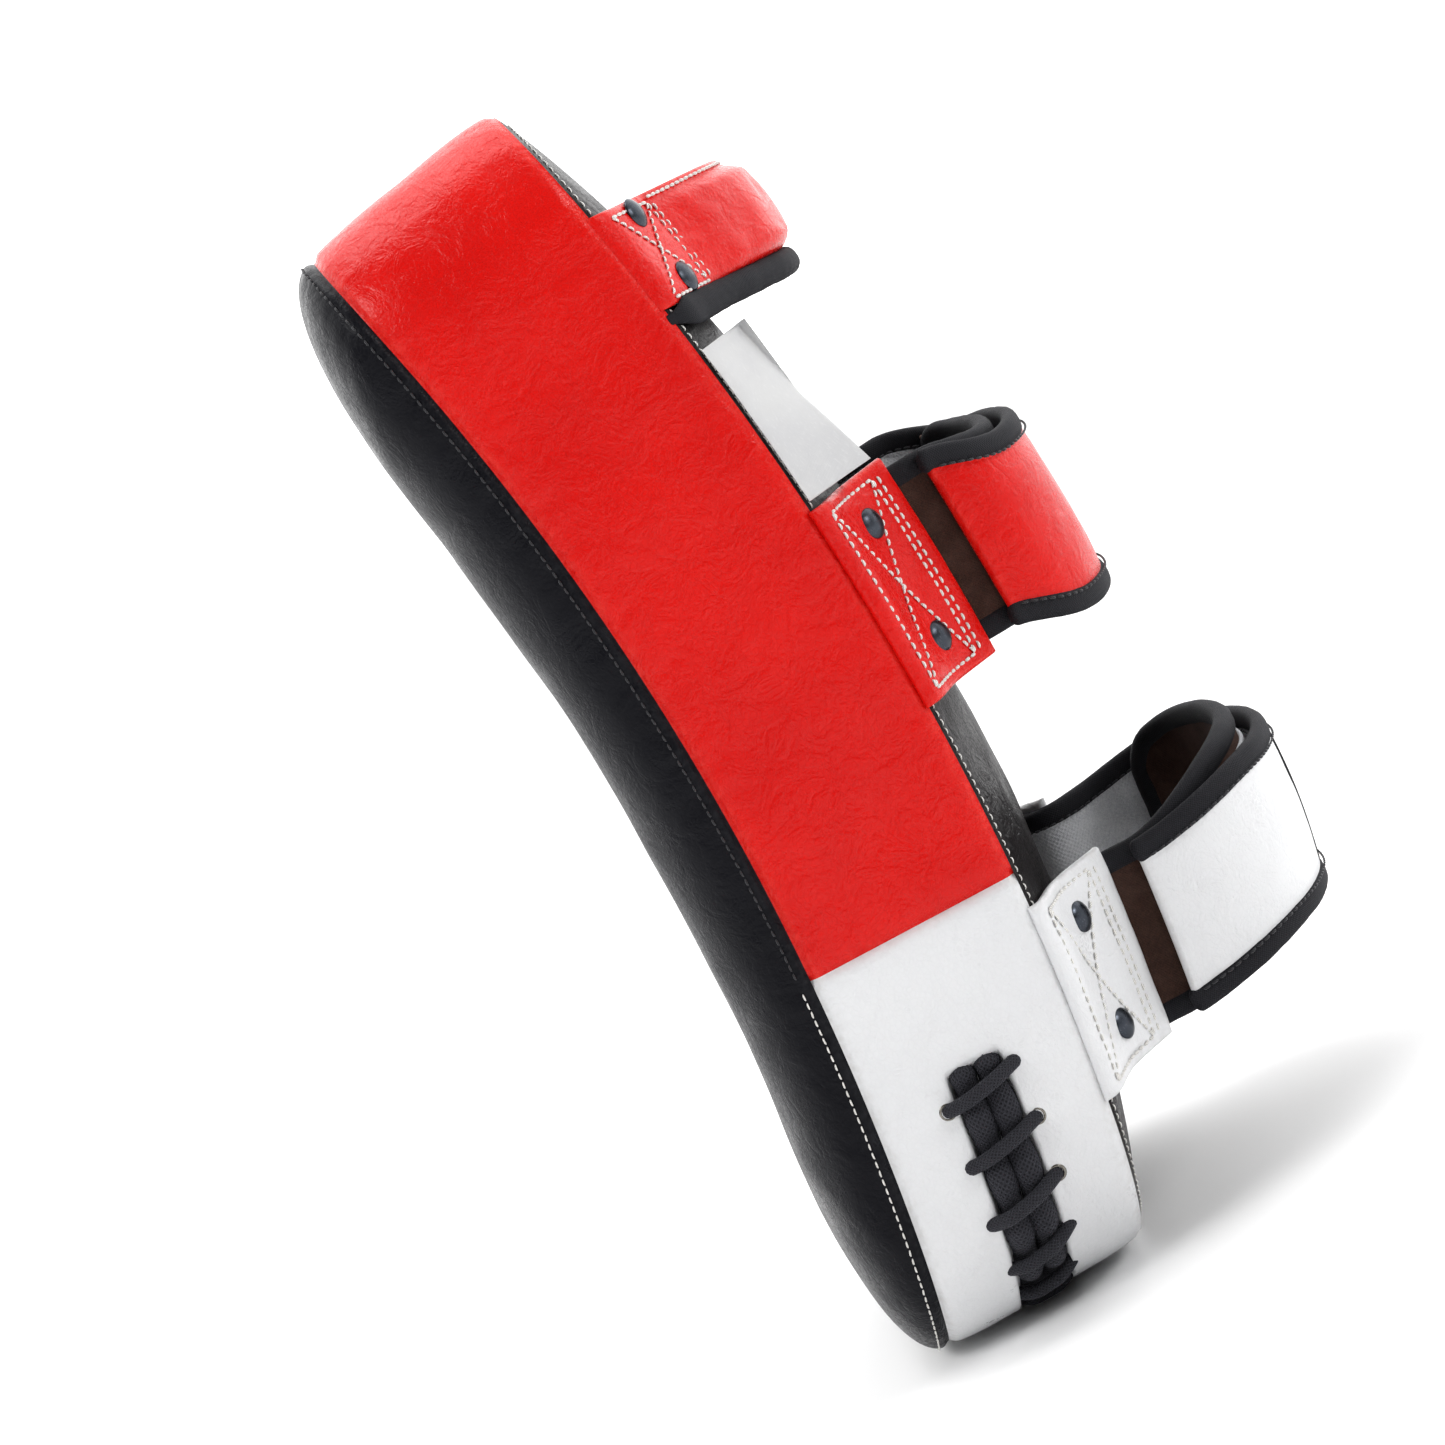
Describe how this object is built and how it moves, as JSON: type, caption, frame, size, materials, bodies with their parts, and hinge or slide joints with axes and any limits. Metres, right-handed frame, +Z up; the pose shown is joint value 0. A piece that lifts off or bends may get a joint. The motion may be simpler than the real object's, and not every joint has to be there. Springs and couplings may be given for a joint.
{
  "type": "thai pad",
  "caption": "Curved Thai kick pad with a red and white leather case, padded handle, two forearm straps and a laced end.",
  "frame": {"origin": "on the floor that the flat lower end stands on, under the middle of the whole object's depth and width", "axes": "+Z up the pad to the handle end, -Y out of the striking face, +Y to the arm side, +X to the side where the inner straps start"},
  "size_m": [0.2116, 0.1996, 0.3972],
  "materials": {
    "black_leather": "semi-gloss, fine grain",
    "red_leather": "semi-gloss, fine pebble grain",
    "white_leather": "semi-gloss, fine pebble grain",
    "foam": "matt, closed cell",
    "gunmetal": "satin gunmetal plating",
    "binding_tape": "matt woven",
    "black_webbing": "matt woven",
    "black_braid": "matt braid",
    "brown_lining": "matt",
    "loop_pile": "matt pile",
    "hook_tape": "matt ribbed",
    "white_satin": "satin weave"
  },
  "bodies": {
    "pad": {"strike_foam": "foam", "middle_foam": "foam", "arm_foam": "foam", "strike_panel": "black_leather", "arm_panel": "black_leather", "red_side_band": "red_leather", "white_side_band": "white_leather", "closure_welt_front": "black_webbing", "eyelet_strip_front": "white_leather", "closure_welt_back": "black_webbing", "eyelet_strip_back": "white_leather", "closure_lace": "black_braid", "upper_tab_right": "red_leather", "upper_tab_left": "red_leather", "lower_tab_right": "white_leather", "lower_tab_left": "white_leather", "handle_tab_right": "red_leather", "handle_tab_left": "red_leather", "upper_tab_right_rivet_upper": "gunmetal", "upper_tab_right_rivet_lower": "gunmetal", "upper_tab_left_rivet_upper": "gunmetal", "upper_tab_left_rivet_lower": "gunmetal", "lower_tab_right_rivet_upper": "gunmetal", "lower_tab_right_rivet_lower": "gunmetal", "lower_tab_left_rivet_upper": "gunmetal", "lower_tab_left_rivet_lower": "gunmetal", "handle_tab_right_rivet_upper": "gunmetal", "handle_tab_right_rivet_lower": "gunmetal", "handle_tab_left_rivet_upper": "gunmetal", "handle_tab_left_rivet_lower": "gunmetal", "upper_inner_strap": "brown_lining", "upper_inner_binding": "binding_tape", "upper_loop_patch": "loop_pile", "lower_inner_strap": "brown_lining", "lower_inner_binding": "binding_tape", "lower_loop_patch": "loop_pile"},
    "upper_closing": {"upper_closing_strap": "red_leather", "upper_closing_binding": "binding_tape", "upper_hook_patch": "hook_tape"},
    "lower_closing": {"lower_closing_strap": "white_leather", "lower_closing_binding": "binding_tape", "lower_hook_patch": "hook_tape"},
    "handle": {"handle_cover": "red_leather", "handle_core": "foam", "handle_liner": "red_leather", "handle_black_edge": "black_leather"},
    "label": {"care_label": "white_satin"}
  },
  "joints": [
    {"name": "upper_strap_open", "type": "hinge", "parent": "pad", "child": "upper_closing", "pos_m": [-0.0682, 0.03406, 0.21593], "axis": [0, -0.0229, 0.9997], "range_deg": [0, 75]},
    {"name": "lower_strap_open", "type": "hinge", "parent": "pad", "child": "lower_closing", "pos_m": [-0.0653, 0.02723, 0.08212], "axis": [0, 0.1345, 0.9909], "range_deg": [0, 75]},
    {"name": "handle_lean", "type": "hinge", "parent": "pad", "child": "handle", "pos_m": [0, 0.00992, 0.33558], "axis": [1, 0, 0], "range_deg": [-15, 15]},
    {"name": "label_flap", "type": "hinge", "parent": "pad", "child": "label", "pos_m": [0.0998, 0.00352, 0.27914], "axis": [0, -0.0974, 0.9952], "range_deg": [-90, 12]}
  ]
}
